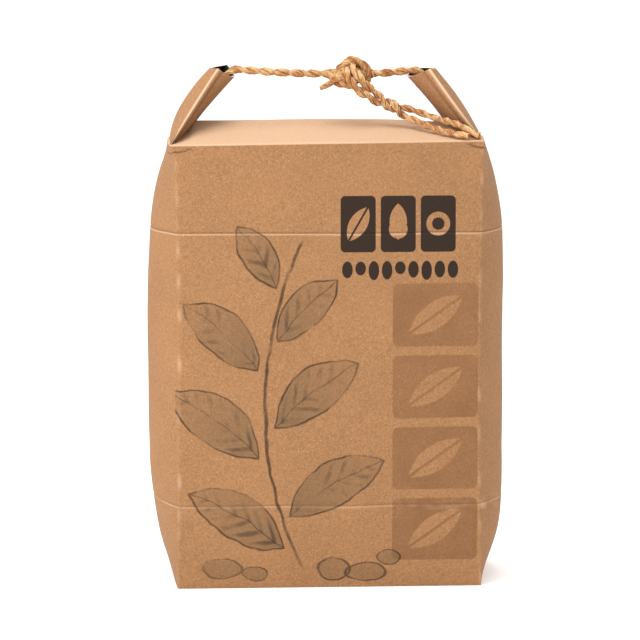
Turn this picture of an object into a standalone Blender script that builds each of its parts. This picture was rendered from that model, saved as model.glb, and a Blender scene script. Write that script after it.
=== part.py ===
"""A filled kraft paper sack with a twisted paper rope handle, in metres, +Z up.

The sack stands on its flat bottom with its front towards -Y. Its top is rolled shut, and the two
ends of the roll stand up as ears, which the rope pulls towards each other. The rope comes out of
each ear's mouth and is tied in the middle, with one short and two long ends.
"""

import math

import bmesh
import bpy
from mathutils import Vector

# Driving dimensions of the sack
HALF_WIDTH = 0.1015      # centre to a corner crease
HALF_DEPTH = 0.055
SHOULDER = 0.297         # height of the front top edge
WAIST = 0.0020           # how far the corner creases are drawn in at mid height
FRONT_BULGE = 0.003
FLARE = 0.0036           # the left shoulder corner is pulled out this far
FLARE_START = 0.283
# How far the middle of the left and of the right side stands past its creases at each height
SIDE_PROFILE = (
    (0.000, 0.0020, 0.0032),
    (0.025, 0.0108, 0.0156),
    (0.038, 0.0137, 0.0188),
    (0.056, 0.0168, 0.0204),
    (0.075, 0.0193, 0.0209),
    (0.158, 0.0210, 0.0210),
    (0.205, 0.0198, 0.0208),
    (0.238, 0.0174, 0.0197),
    (0.252, 0.0160, 0.0175),
    (0.266, 0.0133, 0.0142),
    (0.279, 0.0095, 0.0108),
    (0.288, 0.0054, 0.0070),
    (0.297, 0.0028, 0.0037),
)

# The rolled top: it climbs to a crest, and the flat roll lies behind the crest
CREST_RISE = 0.0124
CREST_FALL = 0.48        # share of the rise that is lost towards the right shoulder
CREST_Y = 0.005
ROLL_BACK_Y = 0.028
ROLL_BACK_RISE = 0.0080
REAR_RISE = 0.003
ROLL_STEP = 0.001
PANEL_END = 0.86         # share of the half width where the top panel meets the ears

# Each ear's front fold, inner line, back fold and outer line, from the shoulder to the mouth, as
# they would lie at +X
LEFT_EAR = (
    ((0.1048, -0.0500, 0.2966), (0.0884, -0.0285, 0.3205), (0.0720, -0.0080, 0.3436)),
    ((0.0925, 0.0000, 0.3025), (0.0760, -0.0005, 0.3215), (0.0612, -0.0010, 0.3376)),
    ((0.1015, 0.0530, 0.2965), (0.0850, 0.0310, 0.3205), (0.0655, 0.0110, 0.3458)),
    ((0.1046, 0.0000, 0.2960), (0.1038, 0.0010, 0.3180), (0.0768, 0.0020, 0.3440)),
)
RIGHT_EAR = (
    ((0.1010, -0.0505, 0.2965), (0.0836, -0.0285, 0.3205), (0.0697, -0.0080, 0.3430)),
    ((0.0830, 0.0000, 0.3030), (0.0700, -0.0005, 0.3215), (0.0556, -0.0010, 0.3375)),
    ((0.1005, 0.0530, 0.2965), (0.0805, 0.0310, 0.3205), (0.0618, 0.0110, 0.3435)),
    ((0.1040, 0.0000, 0.2960), (0.0962, 0.0010, 0.3180), (0.0735, 0.0020, 0.3435)),
)
EAR_STEPS = 7
EAR_SIDE_POINTS = 6
EAR_ROOT = 0.006         # how far an ear reaches down into the sack
MOUTH_WALL = 0.0008
MOUTH_DEPTH_SHARE = 0.40

# The rope and its knot
ROPE = 0.0052
SLACK_ROPE = 0.0046      # the loose ends are a little thinner than the taut runs
ROPE_SIDES = 2           # bevel resolution
POINT_SPACING = 0.0040
KNOT_CENTRE = Vector((0.0185, -0.0010, 0.3395))
KNOT_RADII = Vector((0.0142, 0.0085, 0.0105))
LEFT_ROUTE = (
    (-0.0718, 0.0010, 0.3309),
    (-0.0672, 0.0010, 0.3372),
    (-0.0640, 0.0008, 0.3409),
    (-0.0603, 0.0003, 0.3424),
    (-0.0550, -0.0002, 0.3422),
    (-0.0380, -0.0006, 0.3409),
    (-0.0180, -0.0008, 0.3399),
    (0.0040, -0.0010, 0.3395),
)
RIGHT_ROUTE = (
    (0.0718, 0.0010, 0.3303),
    (0.0672, 0.0010, 0.3366),
    (0.0642, 0.0008, 0.3399),
    (0.0605, 0.0003, 0.3414),
    (0.0550, -0.0002, 0.3413),
    (0.0450, -0.0006, 0.3402),
    (0.0330, -0.0010, 0.3395),
)
TAIL_ROUTE = (
    (0.0052, -0.0088, 0.3345),
    (0.0010, -0.0094, 0.3325),
    (-0.0040, -0.0100, 0.3300),
)

# The two long ends: they turn once round each other, part, and lie on the right shoulder corner
PAIR_START = Vector((0.0351, -0.0110, 0.3228))
PAIR_END = Vector((0.0514, -0.0150, 0.3151))
PAIR_OFFSET = 0.00255
PAIR_POINTS = 8
UPPER_START = ((0.0305, -0.0100, 0.3290),)
UPPER_END = (
    (0.0580, -0.0165, 0.3158),
    (0.0640, -0.0180, 0.3138),
    (0.0693, -0.0205, 0.3120),
    (0.0740, -0.0245, 0.3106),
    (0.0780, -0.0300, 0.3097),
    (0.0816, -0.0355, 0.3090),
    (0.0850, -0.0405, 0.3080),
    (0.0886, -0.0444, 0.3064),
    (0.0921, -0.0472, 0.3043),
    (0.0956, -0.0492, 0.3024),
    (0.0988, -0.0508, 0.3014),
)
LOWER_START = ((0.0275, -0.0125, 0.3258),)
LOWER_END = (
    (0.0552, -0.0182, 0.3108),
    (0.0605, -0.0235, 0.3090),
    (0.0660, -0.0288, 0.3065),
    (0.0712, -0.0341, 0.3047),
    (0.0762, -0.0394, 0.3034),
    (0.0812, -0.0447, 0.3025),
    (0.0855, -0.0494, 0.3019),
    (0.0893, -0.0527, 0.3014),
    (0.0918, -0.0542, 0.3013),
)

KRAFT = (0.49, 0.29, 0.16, 1.0)
TWINE = (0.76, 0.47, 0.24, 1.0)


def clear_scene():
    for thing in list(bpy.data.objects):
        bpy.data.objects.remove(thing)


def make_collection(name):
    made = bpy.data.collections.new(name)
    bpy.context.scene.collection.children.link(made)
    return made


def make_material(name, colour, roughness):
    made = bpy.data.materials.new(name)
    made.use_nodes = True
    surface = made.node_tree.nodes["Principled BSDF"]
    surface.inputs["Base Color"].default_value = colour
    surface.inputs["Roughness"].default_value = roughness
    surface.inputs["Metallic"].default_value = 0.0
    return made


def add_mesh(name, bm, collection, material=None):
    bmesh.ops.recalc_face_normals(bm, faces=bm.faces)
    mesh = bpy.data.meshes.new(name)
    bm.to_mesh(mesh)
    bm.free()
    made = bpy.data.objects.new(name, mesh)
    collection.objects.link(made)
    if material:
        mesh.materials.append(material)
    return made


def ramp(value, stops):
    """The value of a line through the stops, which are (place, height) pairs."""
    for (low, below), (high, above) in zip(stops, stops[1:]):
        if value <= high:
            return below + (above - below) * (value - low) / (high - low)
    return stops[-1][1]


def side_bulge(z, side):
    """How far the middle of the left (-1) or right (1) side stands past its creases."""
    column = 1 if side < 0 else 2
    return ramp(z, [(stop[0], stop[column]) for stop in SIDE_PROFILE])


def top_rise(y):
    """Height of the top panel over the shoulder, from the front edge to the rear edge."""
    return ramp(y, (
        (-HALF_DEPTH, 0.0),
        (CREST_Y, CREST_RISE),
        (ROLL_BACK_Y, ROLL_BACK_RISE),
        (ROLL_BACK_Y + ROLL_STEP, REAR_RISE),
        (HALF_DEPTH, 0.0),
    ))


def shape_sack(point):
    """Moves a point of the plain block to its place on the filled sack."""
    across = point.x / HALF_WIDTH
    along = point.y / HALF_DEPTH
    height = point.z
    fullness = math.sin(math.pi * height / SHOULDER)
    x = across * (HALF_WIDTH - WAIST * fullness + side_bulge(height, across) * (1 - along ** 2))
    if across < 0 and height > FLARE_START:
        lifted = ((height - FLARE_START) / (SHOULDER - FLARE_START)) ** 2
        x -= FLARE * lifted * (1 - along) / 2 * ramp(-across, ((0.0, 0.0), (PANEL_END, 0.0), (1.0, 1.0)))
    y = along * (HALF_DEPTH + FRONT_BULGE * fullness * (1 - across ** 2))
    if height > SHOULDER - 1e-6:
        share = ramp(abs(across), ((0.0, 1.0), (PANEL_END, 1.0), (1.0, 0.0)))
        height += top_rise(point.y) * share * (1 - CREST_FALL * max(across, 0.0) ** 2)
    return Vector((x, y, height))


def make_sack_block():
    """A block cut along its stations and then shaped, so that it has one closed skin."""
    bm = bmesh.new()
    bmesh.ops.create_cube(bm, size=1.0)
    for vert in bm.verts:
        unit = vert.co.copy()
        vert.co = Vector((unit.x * 2 * HALF_WIDTH, unit.y * 2 * HALF_DEPTH, (unit.z + 0.5) * SHOULDER))
    stations = [(Vector((1, 0, 0)), HALF_WIDTH * share) for share in (-PANEL_END, -0.45, 0.0, 0.45, PANEL_END)]
    depths = [-0.75 * HALF_DEPTH, -0.4 * HALF_DEPTH, CREST_Y, ROLL_BACK_Y, ROLL_BACK_Y + ROLL_STEP]
    stations += [(Vector((0, 1, 0)), y) for y in depths + [0.75 * HALF_DEPTH]]
    stations += [(Vector((0, 0, 1)), z) for z, _, _ in SIDE_PROFILE[1:-1]]
    for normal, distance in stations:
        everything = bm.verts[:] + bm.edges[:] + bm.faces[:]
        bmesh.ops.bisect_plane(bm, geom=everything, plane_co=normal * distance, plane_no=normal)
    for vert in bm.verts:
        vert.co = shape_sack(vert.co)
    return bm


def bezier(edge, share):
    start, middle, end = (Vector(point) for point in edge)
    return start * (1 - share) ** 2 + middle * 2 * share * (1 - share) + end * share ** 2


def arc_through(start, middle, end, share):
    """A point on the parabola through three points, for a share from -1 to 1."""
    return middle + (end - start) / 2 * share + ((start + end) / 2 - middle) * share ** 2


def ear_ring(side, edges, share, inset):
    """One closed section of an ear: the outer wall from front to back, then the inner wall back."""
    low = min(share, 0.0)
    high = max(share, 1.0) - 1.0
    at = min(max(share, 0.0), 1.0)
    front, inner, back, outer = (
        bezier(edge, at) + (Vector(edge[2]) - Vector(edge[1])) * high * 2
        for edge in edges
    )
    steps = [2 * i / EAR_SIDE_POINTS - 1 for i in range(EAR_SIDE_POINTS)]
    ring = [arc_through(front, outer, back, step) for step in steps]
    ring += [arc_through(back, inner, front, step) for step in steps]
    centre = sum(ring, Vector()) / len(ring)
    placed = []
    for point in ring:
        inward = centre - point
        point = point + inward.normalized() * min(inset, inward.length * 0.6)
        point.z += low * EAR_ROOT
        placed.append(Vector((point.x * side, point.y, point.z)))
    return placed


def loft(rings):
    """A closed solid through sections that all have the same number of points."""
    bm = bmesh.new()
    loops = []
    for ring in rings:
        verts = [bm.verts.new(point) for point in ring]
        loops.append([bm.edges.new(pair) for pair in zip(verts, verts[1:] + verts[:1])])
    for lower, upper in zip(loops, loops[1:]):
        bmesh.ops.bridge_loops(bm, edges=lower + upper)
    for loop in (loops[0], loops[-1]):
        bmesh.ops.triangle_fill(bm, edges=loop, use_beauty=True)
    return bm


def add_boolean(target, tool, operation):
    tool.hide_render = True
    tool.display_type = "WIRE"
    cut = target.modifiers.new(tool.name, "BOOLEAN")
    cut.operation = operation
    cut.solver = "EXACT"
    cut.object = tool


def make_sack(parts, cutters, material):
    """The sealed sack: the filled block, two ears joined to it, and each ear's open mouth."""
    sack = add_mesh("paper_sack", make_sack_block(), parts, material)
    for side, word, edges in ((-1, "left", LEFT_EAR), (1, "right", RIGHT_EAR)):
        shares = [-1.0] + [step / (EAR_STEPS - 1) for step in range(EAR_STEPS)]
        ear = loft([ear_ring(side, edges, share, 0.0) for share in shares])
        add_boolean(sack, add_mesh(f"{word}_ear", ear, cutters), "UNION")
        depths = (1 - MOUTH_DEPTH_SHARE, 1 - MOUTH_DEPTH_SHARE / 2, 1.0, 1.12)
        mouth = loft([ear_ring(side, edges, depth, MOUTH_WALL) for depth in depths])
        add_boolean(sack, add_mesh(f"{word}_mouth", mouth, cutters), "DIFFERENCE")
    return sack


def smooth_route(route, spacing):
    """Points at even spacing on a smooth curve through the route's own points."""
    points = [Vector(point) for point in route]
    points = [2 * points[0] - points[1]] + points + [2 * points[-1] - points[-2]]
    dense = []
    for before, start, end, after in zip(points, points[1:], points[2:], points[3:]):
        for step in range(20):
            t = step / 20
            dense.append(0.5 * (
                2 * start + (end - before) * t
                + (2 * before - 5 * start + 4 * end - after) * t ** 2
                + (3 * start - before - 3 * end + after) * t ** 3
            ))
    dense.append(points[-2])
    reach = [0.0]
    for start, end in zip(dense, dense[1:]):
        reach.append(reach[-1] + (end - start).length)
    count = max(2, round(reach[-1] / spacing))
    even = []
    index = 0
    for step in range(count + 1):
        target = reach[-1] * step / count
        while index < len(reach) - 2 and reach[index + 1] < target:
            index += 1
        share = (target - reach[index]) / (reach[index + 1] - reach[index])
        even.append(dense[index].lerp(dense[index + 1], share))
    return even


def twisted_pair(start_angle):
    """Points of one strand as it goes once round the line from PAIR_START to PAIR_END."""
    line = (PAIR_END - PAIR_START).normalized()
    front = (Vector((0, -1, 0)) + line * line.y).normalized()
    up = line.cross(front) * -1
    points = []
    for step in range(PAIR_POINTS + 1):
        share = step / PAIR_POINTS
        angle = start_angle + 2 * math.pi * share
        spread = up * math.cos(angle) + front * math.sin(angle)
        points.append(PAIR_START.lerp(PAIR_END, share) + spread * PAIR_OFFSET)
    return points


def upper_route():
    return [*UPPER_START, *twisted_pair(0.0), *UPPER_END]


def lower_route():
    return [*LOWER_START, *twisted_pair(math.pi), *LOWER_END]


def make_rope(name, route, thickness, parts, material):
    """A plain tube along one stretch of the rope."""
    curve = bpy.data.curves.new(name, "CURVE")
    curve.dimensions = "3D"
    curve.bevel_depth = thickness / 2
    curve.bevel_resolution = ROPE_SIDES
    curve.use_fill_caps = True
    spline = curve.splines.new("POLY")
    points = smooth_route(route, POINT_SPACING * thickness / ROPE)
    spline.points.add(len(points) - 1)
    for target, point in zip(spline.points, points):
        target.co = (*point, 1.0)
    curve.materials.append(material)
    made = bpy.data.objects.new(name, curve)
    parts.objects.link(made)
    return made


def make_knot(parts, material):
    """The outer shape of the knot."""
    bm = bmesh.new()
    bmesh.ops.create_uvsphere(bm, u_segments=16, v_segments=10, radius=1.0)
    for vert in bm.verts:
        vert.co = Vector([reach * place for reach, place in zip(KNOT_RADII, vert.co)])
    knot = add_mesh("rope_knot", bm, parts, material)
    knot.location = KNOT_CENTRE
    knot.data.shade_smooth()
    return knot


def main():
    clear_scene()
    parts = make_collection("cat_litter_bag")
    cutters = make_collection("cutters")
    kraft = make_material("kraft_paper", KRAFT, 0.85)
    twine = make_material("paper_twine", TWINE, 0.75)
    make_sack(parts, cutters, kraft)
    make_knot(parts, twine)
    make_rope("rope_left_run", LEFT_ROUTE, ROPE, parts, twine)
    make_rope("rope_right_run", RIGHT_ROUTE, ROPE, parts, twine)
    make_rope("rope_tail", TAIL_ROUTE, SLACK_ROPE, parts, twine)
    make_rope("rope_upper_end", upper_route(), SLACK_ROPE, parts, twine)
    make_rope("rope_lower_end", lower_route(), SLACK_ROPE, parts, twine)


main()
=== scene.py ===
"""The looks of a filled kraft paper sack with a twisted paper rope handle, in metres, +Z up."""

import math

import bmesh
import bpy
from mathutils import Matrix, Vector, noise


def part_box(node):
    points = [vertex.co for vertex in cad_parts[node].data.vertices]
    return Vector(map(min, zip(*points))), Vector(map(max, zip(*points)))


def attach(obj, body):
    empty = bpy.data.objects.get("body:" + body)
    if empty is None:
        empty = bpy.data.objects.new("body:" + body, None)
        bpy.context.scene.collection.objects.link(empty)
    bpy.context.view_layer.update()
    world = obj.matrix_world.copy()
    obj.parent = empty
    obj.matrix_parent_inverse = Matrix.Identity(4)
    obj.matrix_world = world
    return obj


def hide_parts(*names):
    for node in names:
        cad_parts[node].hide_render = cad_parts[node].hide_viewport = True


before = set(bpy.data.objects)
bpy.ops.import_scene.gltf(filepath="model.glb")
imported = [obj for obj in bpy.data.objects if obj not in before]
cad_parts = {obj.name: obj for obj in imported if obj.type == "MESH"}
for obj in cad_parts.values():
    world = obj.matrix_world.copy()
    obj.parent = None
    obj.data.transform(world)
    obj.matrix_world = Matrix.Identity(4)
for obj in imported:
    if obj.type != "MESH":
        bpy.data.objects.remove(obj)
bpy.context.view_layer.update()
SACK_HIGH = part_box("paper_sack")[1]

MM = 0.001

# The filled sack
WAIST = 2 * MM                # the corner creases are drawn in this far at mid height
FRONT_BULGE = 3 * MM
HALF_WIDTH = 101.5 * MM
HALF_DEPTH = SACK_HIGH.y - FRONT_BULGE
SHOULDER = 297 * MM
LOWER_FOLD = 56 * MM
UPPER_FOLD = 238 * MM
FLARE = 3.6 * MM              # the left shoulder corner is pulled out this far
FLARE_START = 283 * MM
SHOULDER_LEAN = 1.2 * MM      # the right shoulder is this much higher than the middle
CREASE_RADIUS = 1.5 * MM
CREASE_ANGLE = 42             # degrees; a sharper edge than this is a crease
COARSE = 2.4 * MM             # mesh spacing on plain paper, and the finer one at a fold
FINE = 0.45 * MM
FOLD_OFFSETS = [step * FINE for step in range(-4, 5)]
TOP_BAND = 9 * MM             # finely meshed paper under the shoulder, which holds the tucks
FOLD_DEPTH = 0.42 * MM
FOLD_REACH = 0.55 * MM
LIT_LIP = 1 * MM              # the lower lip of a fold line catches the light
SEAM_REACH = 0.8 * MM
TUCK_WIDTH = 11 * MM          # the short curved crease under each front shoulder corner
TUCK_DROP = 4.6 * MM          # how far under the corner it ends
TUCK_SIDE_DROP = 2.6 * MM     # and how much lower it runs on the side
PROFILE_SOFTNESS = 5 * MM

# How far the middle of the left and of the right side stands past its creases at each height
SIDE_PROFILE = (
    (0.000, 0.0020, 0.0032),
    (0.025, 0.0108, 0.0156),
    (0.038, 0.0137, 0.0188),
    (0.056, 0.0168, 0.0204),
    (0.075, 0.0193, 0.0209),
    (0.158, 0.0210, 0.0210),
    (0.205, 0.0198, 0.0208),
    (0.238, 0.0174, 0.0197),
    (0.252, 0.0160, 0.0175),
    (0.266, 0.0133, 0.0142),
    (0.279, 0.0095, 0.0108),
    (0.288, 0.0054, 0.0070),
    (0.297, 0.0028, 0.0037),
)

# The rolled top
CREST_RISE = 12.4 * MM
CREST_FALL = 0.48             # share of the rise that is lost towards the right shoulder
CREST_Y = 5 * MM
ROLL_BACK_Y = 28 * MM
ROLL_BACK_RISE = 8 * MM
REAR_RISE = 3 * MM
ROLL_STEP = 1 * MM
CREST_SOFTNESS = 5 * MM
CREST_ROUNDING = 0.5 * MM
PANEL_END = 0.86              # share of the half width where the top panel meets the ears

# Each ear's front fold, inner line, back fold and outer line, from the shoulder to the mouth, as
# they would lie at +X
LEFT_EAR = (
    ((0.1048, -0.0500, 0.2966), (0.0884, -0.0285, 0.3205), (0.0720, -0.0080, 0.3436)),
    ((0.0925, 0.0000, 0.3025), (0.0760, -0.0005, 0.3215), (0.0612, -0.0010, 0.3376)),
    ((0.1015, 0.0530, 0.2965), (0.0850, 0.0310, 0.3205), (0.0655, 0.0110, 0.3458)),
    ((0.1046, 0.0000, 0.2960), (0.1038, 0.0010, 0.3180), (0.0768, 0.0020, 0.3440)),
)
RIGHT_EAR = (
    ((0.1010, -0.0505, 0.2965), (0.0836, -0.0285, 0.3205), (0.0697, -0.0080, 0.3430)),
    ((0.0830, 0.0000, 0.3030), (0.0700, -0.0005, 0.3215), (0.0556, -0.0010, 0.3375)),
    ((0.1005, 0.0530, 0.2965), (0.0805, 0.0310, 0.3205), (0.0618, 0.0110, 0.3435)),
    ((0.1040, 0.0000, 0.2960), (0.0962, 0.0010, 0.3180), (0.0735, 0.0020, 0.3435)),
)
EAR_STEPS = 44
EAR_AROUND = 88
EAR_ROOT = 3 * MM             # how far an ear reaches down into the sack
EAR_CREASE = 0.80             # the crease beside the front fold, as a share of the inner wall
EAR_CREASE_DEPTH = 0.7 * MM
PAPER = 1.1 * MM              # paper and liner together at the mouth

# The rope
ROPE = 5.2 * MM
SLACK_ROPE = 4.6 * MM
PLY_TURN = 21 * MM            # length in which the two plies go once round each other
PLY_RADIUS = 0.315            # shares of the rope's diameter
PLY_OFFSET = 0.18
PLY_SIDES = 18
PLY_FLUTES = 6
FLUTE_DEPTH = 0.18            # shares of the ply's radius
PLY_ROUGHNESS = 0.17
PLY_SWELL = 0.14
FLUTE_TURN = 11 * MM
ROPE_STEP = 0.5 * MM
CURVE_STEPS = 24              # between two points of a route
TAIL = 3.8 * MM
LEFT_ROUTE = (
    (-0.0718, 0.0010, 0.3309),
    (-0.0672, 0.0010, 0.3372),
    (-0.0640, 0.0008, 0.3409),
    (-0.0603, 0.0003, 0.3424),
    (-0.0550, -0.0002, 0.3422),
    (-0.0380, -0.0006, 0.3409),
    (-0.0180, -0.0008, 0.3399),
    (0.0040, -0.0010, 0.3395),
)
RIGHT_ROUTE = (
    (0.0718, 0.0010, 0.3303),
    (0.0672, 0.0010, 0.3366),
    (0.0642, 0.0008, 0.3399),
    (0.0605, 0.0003, 0.3414),
    (0.0550, -0.0002, 0.3413),
    (0.0450, -0.0006, 0.3402),
    (0.0330, -0.0010, 0.3395),
)
TAIL_ROUTE = (
    (0.0130, -0.0060, 0.3385),
    (0.0052, -0.0088, 0.3345),
    (0.0010, -0.0094, 0.3325),
    (-0.0038, -0.0100, 0.3301),
)

# The two long ends: they turn once round each other, part, and lie on the right shoulder corner
PAIR_START = Vector((0.0351, -0.0110, 0.3228))
PAIR_END = Vector((0.0514, -0.0150, 0.3151))
PAIR_OFFSET = 2.55 * MM
PAIR_POINTS = 8
UPPER_START = ((0.0305, -0.0100, 0.3290),)
UPPER_END = (
    (0.0580, -0.0165, 0.3158),
    (0.0640, -0.0180, 0.3138),
    (0.0693, -0.0205, 0.3120),
    (0.0740, -0.0245, 0.3106),
    (0.0780, -0.0300, 0.3097),
    (0.0816, -0.0355, 0.3090),
    (0.0850, -0.0405, 0.3080),
    (0.0886, -0.0444, 0.3064),
    (0.0921, -0.0472, 0.3043),
    (0.0956, -0.0492, 0.3024),
    (0.0988, -0.0508, 0.3014),
)
LOWER_START = ((0.0275, -0.0125, 0.3258),)
LOWER_END = (
    (0.0552, -0.0182, 0.3108),
    (0.0605, -0.0235, 0.3090),
    (0.0660, -0.0288, 0.3065),
    (0.0712, -0.0341, 0.3047),
    (0.0762, -0.0394, 0.3034),
    (0.0812, -0.0447, 0.3025),
    (0.0855, -0.0494, 0.3019),
    (0.0893, -0.0527, 0.3014),
    (0.0918, -0.0542, 0.3013),
)
KNOT_ROPE = 5.8 * MM
KNOT_WRAPS = (
    # two turns over the top, one behind the other
    ((0.0050, -0.0020, 0.3372), (0.0085, -0.0046, 0.3402), (0.0108, -0.0054, 0.3441),
     (0.0142, -0.0044, 0.3474), (0.0192, -0.0030, 0.3483), (0.0246, -0.0020, 0.3462),
     (0.0282, -0.0012, 0.3412), (0.0282, -0.0014, 0.3356), (0.0245, -0.0020, 0.3318)),
    ((0.0088, 0.0028, 0.3375), (0.0118, 0.0036, 0.3430), (0.0176, 0.0040, 0.3462),
     (0.0240, 0.0038, 0.3446), (0.0288, 0.0026, 0.3402), (0.0318, 0.0006, 0.3378)),
    # round the lower left, and once more inside it
    ((0.0030, -0.0010, 0.3388), (0.0058, -0.0048, 0.3360), (0.0102, -0.0068, 0.3330),
     (0.0156, -0.0064, 0.3322), (0.0202, -0.0032, 0.3340), (0.0214, 0.0010, 0.3380)),
    ((0.0060, -0.0040, 0.3392), (0.0105, -0.0062, 0.3364), (0.0158, -0.0060, 0.3350),
     (0.0212, -0.0040, 0.3362), (0.0262, -0.0010, 0.3384)),
    # through the middle
    ((0.0060, 0.0010, 0.3392), (0.0115, -0.0005, 0.3408), (0.0180, -0.0015, 0.3414),
     (0.0240, -0.0010, 0.3402), (0.0300, 0.0000, 0.3388)),
    ((0.0130, 0.0010, 0.3372), (0.0185, 0.0005, 0.3384), (0.0245, 0.0010, 0.3366),
     (0.0290, 0.0010, 0.3352)),
    # the two long ends, out of the knot's top and over its front
    ((0.0122, -0.0040, 0.3446), (0.0140, -0.0088, 0.3408), (0.0160, -0.0114, 0.3358),
     (0.0194, -0.0130, 0.3310), (0.0238, -0.0132, 0.3274), (0.0280, -0.0125, 0.3255)),
    ((0.0168, -0.0040, 0.3456), (0.0192, -0.0090, 0.3420), (0.0222, -0.0110, 0.3376),
     (0.0258, -0.0110, 0.3330), (0.0309, -0.0100, 0.3287)),
    # the two runs, on into the knot
    ((0.0030, -0.0010, 0.3395), (0.0085, 0.0010, 0.3400), (0.0150, 0.0030, 0.3392),
     (0.0212, 0.0036, 0.3362)),
    ((0.0340, -0.0010, 0.3395), (0.0288, 0.0012, 0.3404), (0.0232, 0.0022, 0.3412),
     (0.0175, 0.0012, 0.3400)),
)

# The camera
CAMERA_PLACE = (-0.1292, -2.2000, 0.4564)
CAMERA_TARGET = (-0.0066, -0.0550, 0.1799)
CAMERA_LENS = 184.4
SENSOR = 36.0


def make_camera():
    data = bpy.data.cameras.new("camera")
    data.lens = CAMERA_LENS
    data.sensor_width = SENSOR
    camera = bpy.data.objects.new("camera", data)
    camera.location = CAMERA_PLACE
    aim = Vector(CAMERA_TARGET) - Vector(CAMERA_PLACE)
    camera.rotation_euler = aim.to_track_quat("-Z", "Y").to_euler()
    bpy.context.scene.collection.objects.link(camera)
    bpy.context.scene.camera = camera


# ---------------------------------------------------------------- shader maths


class Num:
    """A number that varies over a surface. Its operators add Math nodes."""

    def __init__(self, paint, socket):
        self.paint = paint
        self.socket = socket

    def op(self, operation, *others):
        return self.paint.math(operation, self, *others)

    def __add__(self, other):
        return self.op("ADD", other)

    def __sub__(self, other):
        return self.op("SUBTRACT", other)

    def __mul__(self, other):
        return self.op("MULTIPLY", other)

    def __truediv__(self, other):
        return self.op("DIVIDE", other)

    def __rsub__(self, other):
        return self.paint.math("SUBTRACT", other, self)

    def __neg__(self):
        return self.op("MULTIPLY", -1.0)

    def __abs__(self):
        return self.op("ABSOLUTE")

    __radd__ = __add__
    __rmul__ = __mul__

    def max(self, other):
        return self.op("MAXIMUM", other)

    def min(self, other):
        return self.op("MINIMUM", other)

    def step(self, low, high):
        """0 below low, 1 above high and smooth between; low may be the larger."""
        if low > high:
            return 1 - self.step(high, low)
        return Num(self.paint, self.paint.node(
            "ShaderNodeMapRange", {"interpolation_type": "SMOOTHSTEP"},
            {0: self, 1: low, 2: high, 3: 0.0, 4: 1.0}))


DULL_SPECULAR = 0.28          # paper, film and twine all reflect little


class Paint:
    """A material under construction."""

    def __init__(self, name, roughness=0.8):
        self.material = bpy.data.materials.new(name)
        self.material.use_nodes = True
        self.tree = self.material.node_tree
        self.surface = self.tree.nodes["Principled BSDF"]
        self.surface.inputs["Roughness"].default_value = roughness
        self.surface.inputs["Specular IOR Level"].default_value = DULL_SPECULAR
        self.place = self.node("ShaderNodeTexCoord", {}, {}, "Object")

    def node(self, kind, settings, inputs, output=0):
        made = self.tree.nodes.new(kind)
        for key, value in settings.items():
            setattr(made, key, value)
        for key, value in inputs.items():
            if isinstance(value, Num):
                value = value.socket
            if isinstance(value, bpy.types.NodeSocket):
                self.tree.links.new(value, made.inputs[key])
            else:
                made.inputs[key].default_value = value
        return made.outputs[output]

    def math(self, operation, *values):
        inputs = dict(enumerate(values))
        return Num(self, self.node("ShaderNodeMath", {"operation": operation}, inputs))

    def axes(self):
        """The object's own X, Y and Z."""
        node = self.tree.nodes.new("ShaderNodeSeparateXYZ")
        self.tree.links.new(self.place, node.inputs[0])
        return [Num(self, socket) for socket in node.outputs]

    def mapped(self, scale, turn):
        return self.node("ShaderNodeMapping", {}, {
            "Vector": self.place, "Scale": scale, "Rotation": turn})

    def attribute(self, name):
        return Num(self, self.node("ShaderNodeAttribute", {"attribute_name": name}, {}, "Fac"))

    def combined(self, x, y, z=0.0):
        return self.node("ShaderNodeCombineXYZ", {}, {0: x, 1: y, 2: z})

    def noise(self, scale, detail=2.0, roughness=0.5, vector=None):
        return Num(self, self.node("ShaderNodeTexNoise", {}, {
            "Vector": vector or self.place, "Scale": scale, "Detail": detail, "Roughness": roughness}))

    def mix(self, factor, first, second):
        return self.node("ShaderNodeMix", {"data_type": "RGBA"}, {0: factor, 6: first, 7: second}, 2)

    def set(self, **links):
        for key, value in links.items():
            socket = value.socket if isinstance(value, Num) else value
            self.tree.links.new(socket, self.surface.inputs[key.replace("_", " ")])

    def bump(self, height, distance, strength=1.0):
        normal = self.node("ShaderNodeBump", {}, {
            "Height": height, "Distance": distance, "Strength": strength})
        self.tree.links.new(normal, self.surface.inputs["Normal"])


def srgb(red, green, blue):
    """A linear colour from 0 to 255 display values."""
    parts = [value / 255 for value in (red, green, blue)]
    return tuple(p / 12.92 if p < 0.04045 else ((p + 0.055) / 1.055) ** 2.4 for p in parts) + (1.0,)


# ---------------------------------------------------------------- print on the front
# Every size and place of the print is in millimetres.


def hypot(first, second):
    return (first * first + second * second).op("SQRT")


def turned(x, z, centre, angle):
    """Coordinates along and across a line through the centre."""
    dx = x - centre[0]
    dz = z - centre[1]
    cosine, sine = math.cos(angle), math.sin(angle)
    return dx * cosine + dz * sine, dz * cosine - dx * sine


def leaf_distance(along, across, length, width):
    """Negative inside a pointed leaf."""
    half, side = length / 2, width / 2
    radius = (half ** 2 + side ** 2) / (2 * side)
    return hypot(along, abs(across) + (radius - side)) - radius


def filled(distance, blur):
    """1 inside a shape, 0 outside it."""
    return distance.step(blur, -blur)


def box_distance(u, v, half_u, half_v, corner):
    """Negative inside a box with round corners."""
    out_u = abs(u) - (half_u - corner)
    out_v = abs(v) - (half_v - corner)
    return hypot(out_u.max(0.0), out_v.max(0.0)) + out_u.max(out_v).min(0.0) - corner


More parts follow.
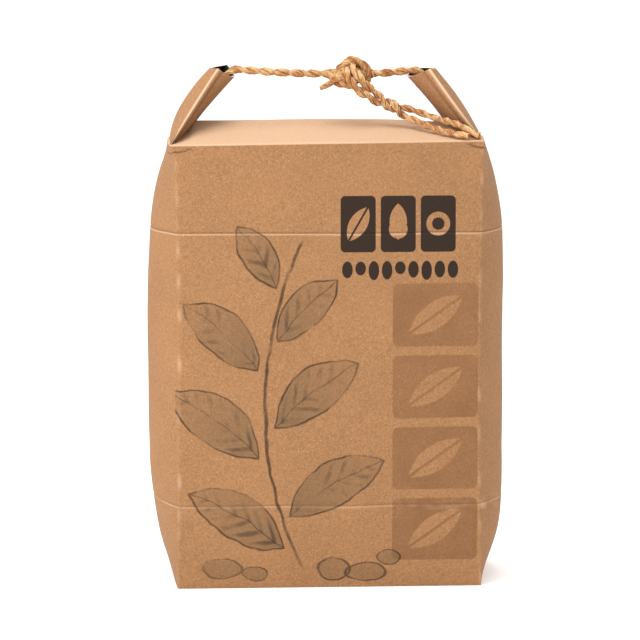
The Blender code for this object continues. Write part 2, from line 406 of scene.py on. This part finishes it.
STEM_CENTRE = (215, 122)
STEM_RADIUS = 258
LEAVES = (
    # height on the stem, side (-1 left, 1 right), rise angle, length, width
    (28, -1, 30, 74, 32),
    (50, 1, 30, 74, 31),
    (88, -1, 36, 76, 33),
    (108, 1, 38, 72, 31),
    (146, -1, 42, 68, 30),
    (164, 1, 46, 58, 26),
    (198, -1, 58, 50, 23),
)
LEAF_GAP = 4                  # from the stem to a leaf's end
LEAF_CURVE = 0.0028
STROKE_PITCH = 10.5           # dark brush strokes along a leaf
STEM_LOW, STEM_HIGH = 12, 236
PEBBLES = (
    # place across and up, half width, half height
    (-72, 13, 13, 7),
    (-50, 10, 9, 5),
    (3, 13, 11, 7),
    (24, 10, 13, 6),
    (39, 20, 8, 5),
)
BADGE_FIRST = 18.5
BADGE_PITCH = 26.5
BADGE_HEIGHT = 243.5
GRANULE_PITCH = 8.75
GRANULES_LEFT = 7.0
GRANULES_RIGHT = 85.7
GRANULES_HEIGHT = 213.5
COLUMN_PLACE = 70.0
COLUMN_LOW = 15.0
COLUMN_HIGH = 206.5
COLUMN_PITCH = 48.0
CRISP = 0.15                  # half the blur of a printed edge
SOFT = 0.4


def stem_x(height):
    return STEM_CENTRE[0] - math.sqrt(STEM_RADIUS ** 2 - (height - STEM_CENTRE[1]) ** 2)


def draw_sprig(paint, x, z):
    """A brushed sprig over a few pebbles: how strong the wash, the dark strokes and the lines are."""
    grain = paint.noise(38, 4, 0.6)
    soak = paint.noise(120, 3, 0.6)
    wash, dark, line = None, None, None
    for height, side, rise, length, width in LEAVES:
        angle = math.radians(rise if side > 0 else 180 - rise)
        reach = length / 2 + LEAF_GAP
        centre = (stem_x(height) + reach * math.cos(angle), height + reach * math.sin(angle))
        u, v = turned(x, z, centre, angle)
        v = v + u * u * (LEAF_CURVE * side)
        distance = leaf_distance(u, v, length, width)
        inside = distance.step(0.8, -2.2)
        fade = (u / length + 0.5).step(1.15, -0.3) * 0.65 + 0.35
        stroke = ((u - abs(v) * 1.1) * (2 * math.pi / STROKE_PITCH)).op("SINE").step(-0.1, 0.9)
        edge = abs(distance + 0.6).step(1.0, 0.15)
        vein = abs(v).step(0.75, 0.1) * inside
        leaf_wash = inside * fade
        leaf_dark = distance.step(-1.5, -5.0) * stroke * fade
        leaf_line = edge.max(vein * 0.7)
        wash = leaf_wash if wash is None else wash.max(leaf_wash)
        dark = leaf_dark if dark is None else dark.max(leaf_dark)
        line = leaf_line if line is None else line.max(leaf_line)
    stem = abs(hypot(x - STEM_CENTRE[0], z - STEM_CENTRE[1]) - STEM_RADIUS).step(1.5, 0.5)
    stem = stem * z.step(STEM_LOW, STEM_LOW + 4) * z.step(STEM_HIGH, STEM_HIGH - 10) * x.step(40, 20)
    line = line.max(stem)
    for px, pz, half, tall in PEBBLES:
        reach = hypot((x - px) / half, (z - pz) / tall)
        wash = wash.max(reach.step(1.02, 0.8) * 0.6)
        line = line.max(abs(reach - 1).step(0.13, 0.03))
    return (wash * (soak * 0.7 + 0.55), dark * grain.step(0.38, 0.62),
            line * grain.step(0.25, 0.55) * (soak * 0.6 + 0.5))


def draw_badges(x, z):
    """Three dark badges with a leaf, a drop and a ring cut out of them, over a row of granules."""
    ink = None
    for index in range(3):
        u = x - (BADGE_FIRST + BADGE_PITCH * index)
        v = z - BADGE_HEIGHT
        badge = filled(box_distance(u, v, 11.6, 18.6, 3.0), CRISP)
        if index == 0:
            along, across = turned(u, v, (0, 0), math.radians(60))
            hole = filled(leaf_distance(along, across, 26, 12), CRISP) * abs(across).step(0.5, 0.8)
        elif index == 1:
            body = hypot(u, v + 3.5) - 6.2
            tip = leaf_distance(v - 1.5, u, 24, 11.5)
            hole = filled(body.min(tip), CRISP)
        else:
            hole = filled(abs(hypot(u, v) - 6.0) - 1.9, CRISP)
        badge = badge * (1 - hole)
        ink = badge if ink is None else ink.max(badge)
    return ink


def draw_granules(paint, x, z):
    """A row of dark granules of uneven size."""
    shifted = (x - GRANULES_LEFT) / GRANULE_PITCH
    cell = shifted.op("FLOOR")
    within = (shifted - cell - 0.5) * GRANULE_PITCH
    chance = Num(paint, paint.node("ShaderNodeTexWhiteNoise", {"noise_dimensions": "1D"}, {"W": cell}))
    tall = chance * 2.4 + 4.2
    reach = hypot(within / 3.5, (z - GRANULES_HEIGHT + (chance - 0.5) * 2.0) / tall)
    row = x.step(GRANULES_LEFT - 0.1, GRANULES_LEFT + 0.1)
    row = row * x.step(GRANULES_RIGHT + 0.1, GRANULES_RIGHT - 0.1)
    return reach.step(1.04, 0.96) * row


def draw_column(x, z):
    """Faint upright blocks down the right side, each with a leaf cut out and a bar."""
    shifted = (z - COLUMN_LOW) / COLUMN_PITCH
    cell = shifted.op("FLOOR")
    v = (shifted - cell - 0.5) * COLUMN_PITCH
    u = x - COLUMN_PLACE
    block = filled(box_distance(u, v, 28.5, 21.0, 4.0), SOFT)
    along, across = turned(u, v, (0, 0), math.radians(35))
    hole = filled(leaf_distance(along, across, 44, 17), SOFT)
    rib = abs(across).step(1.1, 0.7)
    column = z.step(COLUMN_LOW - 0.1, COLUMN_LOW + 0.1) * z.step(COLUMN_HIGH + 0.5, COLUMN_HIGH - 0.5)
    return block * (1 - hole * (1 - rib)) * column


# ---------------------------------------------------------------- materials

KRAFT_LIGHT = srgb(161, 117, 78)
KRAFT_DEEP = srgb(133, 94, 60)
KRAFT_FIBRE = srgb(190, 146, 102)
KRAFT_FLECK = srgb(104, 68, 40)
# paper colours for painted highlight and painted shade
PAINTED_HIGHLIGHT_PAPER = srgb(232, 200, 168)
PAINTED_SHADE_PAPER = srgb(88, 52, 30)
FAINT_INK = srgb(112, 74, 44)
WASH_INK = srgb(98, 76, 52)
STROKE_INK = srgb(54, 41, 29)
LINE_INK = srgb(32, 23, 16)
SOLID_INK = srgb(30, 19, 12)
TWINE_DEEP = srgb(148, 82, 36)
TWINE_LIGHT = srgb(200, 156, 104)
TWINE_PALE = srgb(224, 188, 136)
TWINE_STREAK = srgb(132, 66, 24)
TWINE_PAINTED_SHADE = srgb(104, 48, 16)


def kraft_colour(paint):
    """Uncoated kraft: slow blotches, short fibres both ways, and dark and pale flecks."""
    blotch = paint.noise(28, 3, 0.55)
    speck = paint.noise(700, 2, 0.7)
    grit = paint.noise(1500, 1, 0.5)
    fibres = paint.noise(1, 2, 0.6, paint.mapped((420, 420, 900), (0.5, 0, 0.3)))
    cross = paint.noise(1, 2, 0.6, paint.mapped((900, 700, 420), (0, 0.6, 0.4)))
    fleck = paint.noise(420, 1, 0.4).step(0.70, 0.78)
    tone = blotch * 0.12 + speck * 0.34 + grit * 0.30 + fibres * 0.12 + cross * 0.12
    colour = paint.mix(tone.step(0.37, 0.63), KRAFT_DEEP, KRAFT_LIGHT)
    colour = paint.mix(fleck * 0.35, colour, KRAFT_FLECK)
    pale = paint.noise(1000, 1, 0.5).step(0.62, 0.74)
    colour = paint.mix(pale * 0.5, colour, KRAFT_FIBRE)
    strand = fibres.max(cross).step(0.66, 0.80)
    colour = paint.mix(strand * 0.35, colour, KRAFT_FIBRE)
    height = speck * 0.5 + fibres * 0.3 + cross * 0.3
    return colour, height, blotch


def make_kraft(name, printed):
    paint = Paint(name, 0.78)
    colour, height, blotch = kraft_colour(paint)
    painted_lighting = paint.attribute("painted_lighting")
    # painted light and shade from the mesh: above 0 pales the paper as painted highlight, below 0
    # darkens it as painted shade
    colour = paint.mix(painted_lighting.max(0.0) * 0.75, colour, PAINTED_HIGHLIGHT_PAPER)
    colour = paint.mix((-painted_lighting).max(0.0) * 0.7, colour, PAINTED_SHADE_PAPER)
    if printed:
        wobble_x = paint.noise(55, 2, 0.5) - 0.5
        wobble_z = paint.noise(61, 2, 0.5) - 0.5
        x_m, y_m, z_m = paint.axes()
        x = x_m / MM
        z = z_m / MM
        front = (y_m / MM).step(-50.0, -52.0)
        column = draw_column(x, z)
        colour = paint.mix(column * front * (blotch * 0.9 + 0.10), colour, FAINT_INK)
        wash, dark, line = draw_sprig(paint, x + wobble_x * 5.0, z + wobble_z * 5.0)
        colour = paint.mix(wash * front * 0.78, colour, WASH_INK)
        colour = paint.mix(dark * front * 0.82, colour, STROKE_INK)
        colour = paint.mix(line * front * 0.95, colour, LINE_INK)
        ink = draw_badges(x, z).max(draw_granules(paint, x, z))
        colour = paint.mix(ink * front * 0.97, colour, SOLID_INK)
    paint.set(Base_Color=colour, Roughness=blotch * 0.12 + 0.74)
    paint.bump(height, 0.0002, 0.7)
    return paint.material


def make_liner():
    """The dark film inside the paper, seen only in the mouths."""
    paint = Paint("dark_liner", 0.45)
    crinkle = paint.noise(260, 3, 0.6)
    paint.set(Base_Color=paint.mix(crinkle, srgb(10, 12, 14), srgb(38, 44, 47)))
    paint.bump(crinkle, 0.0004, 0.6)
    return paint.material


def make_cut_edge():
    """The pale torn edge of the paper."""
    paint = Paint("cut_edge", 0.9)
    grain = paint.noise(1200, 2, 0.6)
    paint.set(Base_Color=paint.mix(grain, srgb(226, 205, 190), srgb(250, 238, 228)))
    return paint.material


def make_twine():
    """Twisted paper: long pale and orange streaks along each ply, and painted shade where the plies
    meet.
    """
    paint = Paint("paper_twine", 0.62)
    along = paint.attribute("run")
    around = paint.attribute("turn")
    depth = paint.attribute("depth")
    streak = paint.noise(1.0, 4, 0.65, paint.combined(along * 90, around * 7.0, depth))
    fine = paint.noise(1.0, 2, 0.6, paint.combined(along * 320, around * 26.0))
    blotch = paint.noise(140, 2, 0.5)
    colour = paint.mix(streak.step(0.38, 0.58), TWINE_DEEP, TWINE_LIGHT)
    colour = paint.mix(blotch.step(0.46, 0.62) * 0.6, colour, TWINE_PALE)
    colour = paint.mix(fine.step(0.54, 0.64) * 0.6, colour, TWINE_STREAK)
    # painted shade in the grooves where the plies meet, darker nearer the rope's middle
    colour = paint.mix(depth.step(0.75, 0.25) * 0.85, colour, TWINE_PAINTED_SHADE)
    paint.set(Base_Color=colour)
    paint.bump(streak * 0.6 + fine * 0.4, 0.0009, 1.0)
    return paint.material


def make_twine_end():
    """The cut face of the rope."""
    paint = Paint("twine_end", 0.8)
    grain = paint.noise(900, 3, 0.6)
    paint.set(Base_Color=paint.mix(grain, srgb(120, 56, 22), srgb(196, 108, 52)))
    return paint.material


# ---------------------------------------------------------------- the sack's body


def ramp(value, stops):
    """Straight lines between stops of place and value."""
    for (low, below), (high, above) in zip(stops, stops[1:]):
        if value <= high:
            return below + (above - below) * (value - low) / (high - low)
    return stops[-1][1]


def side_bulge(z, side):
    """How far the middle of the left (-1) or right (1) side stands past its creases."""
    column = 1 if side < 0 else 2
    stops = [(stop[0], stop[column]) for stop in SIDE_PROFILE]
    reach = min(PROFILE_SOFTNESS, z, SHOULDER - z)
    return (ramp(z - reach, stops) + ramp(z, stops) + ramp(z + reach, stops)) / 3


def top_rise(y):
    """Height of the top panel over the shoulder; a soft crest, and the flat roll behind it."""
    stops = (
        (-HALF_DEPTH, 0.0), (CREST_Y, CREST_RISE), (ROLL_BACK_Y, ROLL_BACK_RISE),
        (ROLL_BACK_Y + ROLL_STEP, REAR_RISE), (HALF_DEPTH, 0.0))
    near = max(0.0, 1 - abs(y - CREST_Y) / CREST_SOFTNESS)
    return ramp(y, stops) - CREST_ROUNDING * near ** 2


def shape_sack(point):
    """Moves a point of the plain block to its place on the filled sack."""
    across = point.x / HALF_WIDTH
    along = point.y / HALF_DEPTH
    height = point.z
    fullness = math.sin(math.pi * height / SHOULDER)
    x = across * (HALF_WIDTH - WAIST * fullness + side_bulge(height, across) * (1 - along ** 2))
    if across < 0 and height > FLARE_START:
        lifted = ((height - FLARE_START) / (SHOULDER - FLARE_START)) ** 2
        outward = ramp(-across, ((0.0, 0.0), (PANEL_END, 0.0), (1.0, 1.0)))
        x -= FLARE * lifted * (1 - along) / 2 * outward
    y = along * (HALF_DEPTH + FRONT_BULGE * fullness * (1 - across ** 2))
    lean = SHOULDER_LEAN * across * height / SHOULDER
    if height > SHOULDER - 1e-6:
        share = ramp(abs(across), ((0.0, 1.0), (PANEL_END, 1.0), (1.0, 0.0)))
        height += top_rise(point.y) * share * (1 - CREST_FALL * max(across, 0.0) ** 2)
    return Vector((x, y, height + lean))


def shoulder_height(x):
    return SHOULDER + SHOULDER_LEAN * x / HALF_WIDTH


def painted_highlight(co):
    """Painted highlight, as a share of pale paper: the whole top, more along its front edge, and a
    little down the front corners.
    """
    at_front = abs(co.y) > HALF_DEPTH - 1.0 * MM
    drop = shoulder_height(co.x) - co.z
    if drop < 0.5 * MM:
        return 0.62 if at_front else 0.47
    fullness = math.sin(math.pi * min(max(co.z / SHOULDER, 0), 1))
    if at_front and abs(abs(co.x) - HALF_WIDTH + WAIST * fullness) < 1.2 * MM:
        return max(0.0, 0.05 + 0.4 * noise.noise(Vector((co.x * 9, 3, co.z * 90))))
    return 0.0


def groove(distance, reach=FOLD_REACH):
    """1 on a line, falling softly to 0 beside it."""
    return math.exp(-(distance / reach) ** 2)


def tuck_at(co, drop, on_side):
    """The short curved crease from the front edge round to the side, under a shoulder corner."""
    inward = HALF_WIDTH - abs(co.x)
    if co.y >= 0 or not 0.2 * MM < drop < TOP_BAND:
        return 0.0
    if on_side:
        back = co.y + HALF_DEPTH
        line = TUCK_DROP + TUCK_SIDE_DROP * (1 - math.exp(-back / (14 * MM)))
        return groove(drop - line) * max(0.0, 1 - back / (60 * MM))
    if co.y < -0.9 * HALF_DEPTH and inward < TUCK_WIDTH:
        line = TUCK_DROP * math.sqrt(1 - (max(inward, 0.0) / TUCK_WIDTH) ** 2)
        return groove(drop - line)
    return 0.0


def sack_relief(co):
    """How far the paper stands out of its plain shape, and the painted light and shade there (-1
    painted shade, 1 painted highlight).
    """
    swell = noise.noise(co * 22) * 0.55 * MM + noise.noise(co * 70 + Vector((3, 1, 7))) * 0.10 * MM
    on_side = abs(co.x) > HALF_WIDTH + 0.5 * MM
    lower = LOWER_FOLD + 0.8 * MM * noise.noise(Vector((co.x * 25, co.y * 25, 4)))
    upper = UPPER_FOLD + 0.4 * MM * noise.noise(Vector((co.x * 25, co.y * 25, 9)))
    fold = max(groove(co.z - lower) * 0.7, groove(co.z - upper))
    lit = max(groove(co.z - lower + LIT_LIP) * 0.6, groove(co.z - upper + LIT_LIP))
    tuck = tuck_at(co, shoulder_height(co.x) - co.z, on_side)
    crinkled = ramp(co.x / HALF_WIDTH, ((-1.3, 0.5), (-0.6, 0.0), (0.35, 0.0), (0.5, 1.0), (1.3, 1.0)))
    crinkle = crinkled * groove(co.z - lower + LIT_LIP, 5 * MM)
    crinkle *= noise.noise(Vector((co.x * 190, 2, co.z * 330)))
    seam = 0.0
    if on_side and co.y > -0.9 * HALF_DEPTH:
        seam = groove(co.y, SEAM_REACH) * 0.45
    depth = FOLD_DEPTH * (fold + 0.8 * tuck + seam + 0.9 * crinkle)
    # painted highlight on each fold's lower lip, painted shade in the folds and in the tucks, and
    # painted light and shade along the crinkles
    pale = 0.50 * lit - 0.55 * fold - 1.3 * tuck + 0.5 * crinkle
    return swell * min(1.0, co.z / (20 * MM)) - depth, pale


def graded(start, end, folds):
    """Places from start to end, close together at each fold."""
    steps = round((end - start) / COARSE)
    places = [start + (end - start) * step / steps for step in range(steps + 1)]
    for fold in folds:
        clear = FOLD_OFFSETS[-1] + 0.3 * COARSE
        places = [p for p in places if abs(p - fold) > clear or p in (start, end)]
        places += [fold + offset for offset in FOLD_OFFSETS if start < fold + offset < end]
    return sorted(places)


def raise_ring(bm, edges, height):
    """Extrudes a ring of edges up to a height and gives back the new ring."""
    grown = bmesh.ops.extrude_edge_only(bm, edges=edges)["geom"]
    fresh = {item for item in grown if isinstance(item, bmesh.types.BMVert)}
    for vert in fresh:
        vert.co.z = height
    return [e for e in grown if isinstance(e, bmesh.types.BMEdge) and all(v in fresh for v in e.verts)]


def make_block(xs, ys, zs):
    """A closed block with its faces cut at the given places."""
    bm = bmesh.new()
    bmesh.ops.create_grid(bm, x_segments=len(xs) - 1, y_segments=len(ys) - 1, size=1.0)
    for vert in bm.verts:
        column = round((vert.co.x + 1) / 2 * (len(xs) - 1))
        row = round((vert.co.y + 1) / 2 * (len(ys) - 1))
        vert.co = Vector((xs[column], ys[row], zs[0]))
    ring = [edge for edge in bm.edges if edge.is_boundary]
    lid = bmesh.ops.duplicate(bm, geom=bm.verts[:] + bm.edges[:] + bm.faces[:])["geom"]
    for item in lid:
        if isinstance(item, bmesh.types.BMVert):
            item.co.z = zs[-1]
    for height in zs[1:]:
        ring = raise_ring(bm, ring, height)
    bmesh.ops.remove_doubles(bm, verts=bm.verts, dist=1e-6)
    bmesh.ops.recalc_face_normals(bm, faces=bm.faces)
    return bm


def finish_mesh(name, bm, materials, painted_lighting=None, sharp=40):
    mesh = bpy.data.meshes.new(name)
    bm.to_mesh(mesh)
    bm.free()
    for material in materials:
        mesh.materials.append(material)
    # painted light and shade, kept on the points for the paper's colour
    if painted_lighting is not None:
        mesh.attributes.new("painted_lighting", "FLOAT", "POINT").data.foreach_set("value", painted_lighting)
    mesh.shade_smooth()
    mesh.set_sharp_from_angle(angle=math.radians(sharp))
    made = bpy.data.objects.new(name, mesh)
    bpy.context.scene.collection.objects.link(made)
    return made


def make_sack_body(material):
    xs = graded(-HALF_WIDTH, HALF_WIDTH, [])
    ys = graded(-HALF_DEPTH, HALF_DEPTH, [0.0, ROLL_BACK_Y + ROLL_STEP / 2])
    band_low = SHOULDER - TOP_BAND
    zs = graded(0.0, band_low, [LOWER_FOLD, UPPER_FOLD])
    zs += [band_low + FINE * step for step in range(1, round(TOP_BAND / FINE) + 1)]
    bm = make_block(xs, ys, zs)
    for vert in bm.verts:
        vert.co = shape_sack(vert.co)
    bm.normal_update()
    creases = [e for e in bm.edges if e.calc_face_angle(0) > math.radians(CREASE_ANGLE)]
    bmesh.ops.bevel(bm, geom=creases, offset=CREASE_RADIUS, offset_type="OFFSET", segments=3,
                    profile=0.5, affect="EDGES", material=-1, clamp_overlap=True)
    bm.normal_update()
    # the painted light and shade of each point
    painted_lighting = []
    for vert in bm.verts:
        rise, pale = sack_relief(vert.co)
        # the painted highlight of the top and edges wins where it outweighs the painted light and
        # shade of the folds
        pale = max(pale, painted_highlight(vert.co), key=abs)
        if vert.co.z < 1 * MM:
            rise = 0.0
        vert.co += vert.normal * rise
        vert.co.z = max(vert.co.z, 0.0)
        painted_lighting.append(pale)
    return finish_mesh("sack_body", bm, [material], painted_lighting)


# ---------------------------------------------------------------- the ears


def bezier(edge, share):
    """A point on the curve that an edge's three points give."""
    start, middle, end = (Vector(point) for point in edge)
    return start * (1 - share) ** 2 + middle * 2 * share * (1 - share) + end * share ** 2


def ear_point(side, edges, turn, share):
    """turn from 0 to 1 goes along the outer wall, front to back, and back along the inner wall."""
    at = max(share, 0.0)
    front, inner, back, outer = (bezier(edge, at) for edge in edges)
    outside = turn < 0.5
    across = 4 * turn - 1 if outside else 3 - 4 * turn
    middle = outer if outside else inner
    spot = middle + (back - front) / 2 * across + ((front + back) / 2 - middle) * across ** 2
    spot.z += min(share, 0.0) * EAR_ROOT
    spot.x -= 0.6 * MM * max(-share, 0.0)
    ripple = noise.noise(spot * 45 + Vector((side * 5, 0, 0))) * 0.5 * MM
    band = 0.0
    if not outside:
        band = EAR_CREASE_DEPTH * groove(across + EAR_CREASE, 0.045)
        ripple += noise.noise(Vector((spot.x * 60, spot.y * 260, spot.z * 60))) * 0.25 * MM
    spot.x += (band + ripple) * (1 if not outside else -1) * min(1.0, (1 - abs(across)) * 6)
    spot.z += side * SHOULDER_LEAN * (1 - at)
    return Vector((side * spot.x, spot.y, spot.z)), across, outside


def make_ear(name, side, edges, kraft, liner, cut_edge):
    """A flattened paper tube that stands on the shoulder, with an open mouth."""
    bm = bmesh.new()
    bmesh.ops.create_circle(bm, cap_ends=False, segments=EAR_AROUND, radius=1.0)
    ring = bm.edges[:]
    for step in range(1, EAR_STEPS + 2):
        ring = raise_ring(bm, ring, step)
    painted_lighting = []
    for vert in bm.verts:
        turn = math.atan2(vert.co.y, vert.co.x) / (2 * math.pi) % 1.0
        share = (vert.co.z - 1) / EAR_STEPS
        vert.co, across, outside = ear_point(side, edges, turn, share if share >= 0 else -1.0)
        # painted highlight along the ear's folds; painted shade in the crease beside the front fold
        # and over the inner wall, darkest at its foot
        edge = groove(abs(across) - 1, 0.045)
        dark = 0.0 if outside else groove(across + EAR_CREASE, 0.04) * 0.8
        shade = 0.0 if outside else 0.45 * (1 - share) * (1 - abs(across) ** 3)
        painted_lighting.append(edge - dark - shade)
    bmesh.ops.recalc_face_normals(bm, faces=bm.faces)
    bm.normal_update()
    ear = finish_mesh(name, bm, [kraft, liner, cut_edge], painted_lighting, 50)
    wall = ear.modifiers.new("wall", "SOLIDIFY")
    wall.thickness = PAPER
    wall.offset = -1.0
    wall.use_rim = True
    wall.use_even_offset = False
    wall.material_offset = 1
    wall.material_offset_rim = 2
    return ear


# ---------------------------------------------------------------- the rope


def smooth_route(route, spacing):
    """Evenly spaced points on a smooth curve through the route's own points."""
    points = [Vector(point) for point in route]
    points = [2 * points[0] - points[1]] + points + [2 * points[-1] - points[-2]]
    dense = []
    for before, start, end, after in zip(points, points[1:], points[2:], points[3:]):
        for step in range(CURVE_STEPS):
            t = step / CURVE_STEPS
            dense.append(0.5 * (
                2 * start + (end - before) * t
                + (2 * before - 5 * start + 4 * end - after) * t ** 2
                + (3 * start - before - 3 * end + after) * t ** 3))
    dense.append(points[-2])
    reach = [0.0]
    for start, end in zip(dense, dense[1:]):
        reach.append(reach[-1] + (end - start).length)
    count = max(4, round(reach[-1] / spacing))
    even = []
    index = 0
    for step in range(count + 1):
        target = reach[-1] * step / count
        while index < len(reach) - 2 and reach[index + 1] < target:
            index += 1
        share = (target - reach[index]) / (reach[index + 1] - reach[index])
        even.append(dense[index].lerp(dense[index + 1], share))
    return even, reach[-1]


def carried_frames(points):
    """A direction across the route at each point, carried along it without twisting."""
    across = None
    frames = []
    for index, point in enumerate(points):
        ahead = points[min(index + 1, len(points) - 1)] - points[max(index - 1, 0)]
        ahead.normalize()
        if across is None:
            across = ahead.cross(Vector((0.0, 0.3, 1.0)))
        across = (across - ahead * across.dot(ahead)).normalized()
        frames.append((across.copy(), ahead.cross(across)))
    return frames


def sweep_ply(bm, points, frames, phase, thick, seed, layers):
    """One fluted ply, wound round the route: a ring carried along it, closed at both ends."""
    run, turn, depth = layers
    made = bmesh.ops.create_circle(bm, cap_ends=False, segments=PLY_SIDES, radius=1.0)["verts"]
    first_edges = list(dict.fromkeys(edge for vert in made for edge in vert.link_edges))
    edges = first_edges
    rings = [made]
    for step in range(1, len(points)):
        edges = raise_ring(bm, edges, step)
        rings.append({vert for edge in edges for vert in edge.verts})
    total = 0.0
    for index, ring in enumerate(rings):
        if index:
            total += (points[index] - points[index - 1]).length
        angle = phase + 2 * math.pi * total / PLY_TURN
        across, up = frames[index]
        out = across * math.cos(angle) + up * math.sin(angle)
        side = across * -math.sin(angle) + up * math.cos(angle)
        swell = 1 + PLY_SWELL * noise.noise(Vector((total * 160, seed, 0)))
        for vert in ring:
            around_angle = math.atan2(vert.co.y, vert.co.x)
            flute_angle = PLY_FLUTES * around_angle + 2 * math.pi * total / FLUTE_TURN + seed
            flute = FLUTE_DEPTH * math.cos(flute_angle)
            rough = PLY_ROUGHNESS * noise.noise(Vector((around_angle * 1.3, total * 380, seed)))
            radius = thick * PLY_RADIUS * swell * (1 + flute + rough)
            local = out * math.cos(around_angle) + side * math.sin(around_angle)
            place = points[index] + out * thick * PLY_OFFSET + local * radius
            vert[run] = total + seed * 0.37
            vert[turn] = around_angle / (2 * math.pi) + seed
            vert[depth] = min(1.0, (place - points[index]).length / (thick * 0.5))
            vert.co = place
    for edge_ring in (first_edges, edges):
        bmesh.ops.edgeloop_fill(bm, edges=edge_ring, mat_nr=1)


def make_rope(name, routes, twine, twine_end):
    """Two-ply twisted paper rope along each route, as one mesh."""
    bm = bmesh.new()
    layers = [bm.verts.layers.float.new(word) for word in ("run", "turn", "depth")]
    paths = []
    for number, (route, thick) in enumerate(routes):
        points, length = smooth_route(route, ROPE_STEP)
        frames = carried_frames(points)
        for ply in range(2):
            sweep_ply(bm, points, frames, math.pi * ply + number, thick, number * 2 + ply + 1, layers)
        paths.append((points, length))
    bmesh.ops.recalc_face_normals(bm, faces=bm.faces)
    return finish_mesh(name, bm, [twine, twine_end], None, 60), paths


def twisted_pair(start_angle):
    """Points of one strand as it goes once round the line from PAIR_START to PAIR_END."""
    line = (PAIR_END - PAIR_START).normalized()
    front = (Vector((0, -1, 0)) + line * line.y).normalized()
    up = line.cross(front) * -1
    points = []
    for step in range(PAIR_POINTS + 1):
        share = step / PAIR_POINTS
        angle = start_angle + 2 * math.pi * share
        spread = up * math.cos(angle) + front * math.sin(angle)
        points.append(PAIR_START.lerp(PAIR_END, share) + spread * PAIR_OFFSET)
    return points


def upper_route():
    return [*UPPER_START, *twisted_pair(0.0), *UPPER_END]


def lower_route():
    return [*LOWER_START, *twisted_pair(math.pi), *LOWER_END]


def declare_rope(node):
    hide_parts(node)


# ---------------------------------------------------------------- stage


FLOOR_SIZE = 12.0
FLOOR_DROP = 0.1 * MM
FLOOR_TONE = 0.97
FLOOR_GLOW = 0.18
STUDIO_LIGHT = 1.03
KEY_PLACE = (-0.62, -0.62, 0.62)
KEY_SIZE = 0.5
KEY_ENERGY = 5.4
KEY_COLOUR = (1.0, 0.985, 0.96)
TOP_PLACE = (-0.1, 0.15, 1.6)
TOP_SIZE = 0.8
TOP_ENERGY = 13


def add_area(name, place, target, size, energy, colour=(1, 1, 1)):
    data = bpy.data.lights.new(name, "AREA")
    data.shape = "SQUARE"
    data.size = size
    data.energy = energy
    data.color = colour
    lamp = bpy.data.objects.new(name, data)
    lamp.location = place
    aim = Vector(target) - Vector(place)
    lamp.rotation_euler = aim.to_track_quat("-Z", "Y").to_euler()
    bpy.context.scene.collection.objects.link(lamp)


def make_stage():
    bm = bmesh.new()
    bmesh.ops.create_grid(bm, x_segments=1, y_segments=1, size=FLOOR_SIZE)
    for vert in bm.verts:
        vert.co.z = -FLOOR_DROP
    paint = Paint("pale_floor", 0.9)
    paint.surface.inputs["Base Color"].default_value = (FLOOR_TONE, FLOOR_TONE, FLOOR_TONE, 1)
    paint.surface.inputs["Emission Color"].default_value = (1, 1, 1, 1)
    paint.surface.inputs["Emission Strength"].default_value = FLOOR_GLOW
    floor = finish_mesh("floor", bm, [paint.material])
    middle = (0, 0, SHOULDER / 2)
    add_area("key", KEY_PLACE, middle, KEY_SIZE, KEY_ENERGY, KEY_COLOUR)
    add_area("top", TOP_PLACE, middle, TOP_SIZE, TOP_ENERGY)
    world = bpy.data.worlds.new("studio")
    world.use_nodes = True
    background = world.node_tree.nodes["Background"]
    background.inputs["Color"].default_value = (1, 1, 1, 1)
    background.inputs["Strength"].default_value = STUDIO_LIGHT
    bpy.context.scene.world = world
    bpy.context.scene.view_settings.view_transform = "Standard"


def main():
    make_camera()
    twine = make_twine()
    twine_end = make_twine_end()
    knot_routes = [(wrap, KNOT_ROPE) for wrap in KNOT_WRAPS] + [(TAIL_ROUTE, TAIL)]
    knot, _ = make_rope("rope_wraps_and_tail", knot_routes, twine, twine_end)
    left, left_path = make_rope("left_rope_run", [(LEFT_ROUTE, ROPE)], twine, twine_end)
    right, right_path = make_rope("right_rope_run", [(RIGHT_ROUTE, ROPE)], twine, twine_end)
    upper, upper_path = make_rope("upper_rope_end", [(upper_route(), SLACK_ROPE)], twine, twine_end)
    lower, lower_path = make_rope("lower_rope_end", [(lower_route(), SLACK_ROPE)], twine, twine_end)
    declare_rope("rope_left_run")
    declare_rope("rope_right_run")
    declare_rope("rope_upper_end")
    declare_rope("rope_lower_end")
    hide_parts("rope_knot", "rope_tail")

    printed = make_kraft("printed_kraft", True)
    plain = make_kraft("plain_kraft", False)
    liner = make_liner()
    cut_edge = make_cut_edge()
    body = make_sack_body(printed)
    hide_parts("paper_sack")
    ears = [make_ear("left_ear", -1, LEFT_EAR, plain, liner, cut_edge),
            make_ear("right_ear", 1, RIGHT_EAR, plain, liner, cut_edge)]
    for piece in [body, *ears]:
        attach(piece, "root")
    for piece in (knot, left, right, upper, lower):
        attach(piece, "root")
    make_stage()


main()
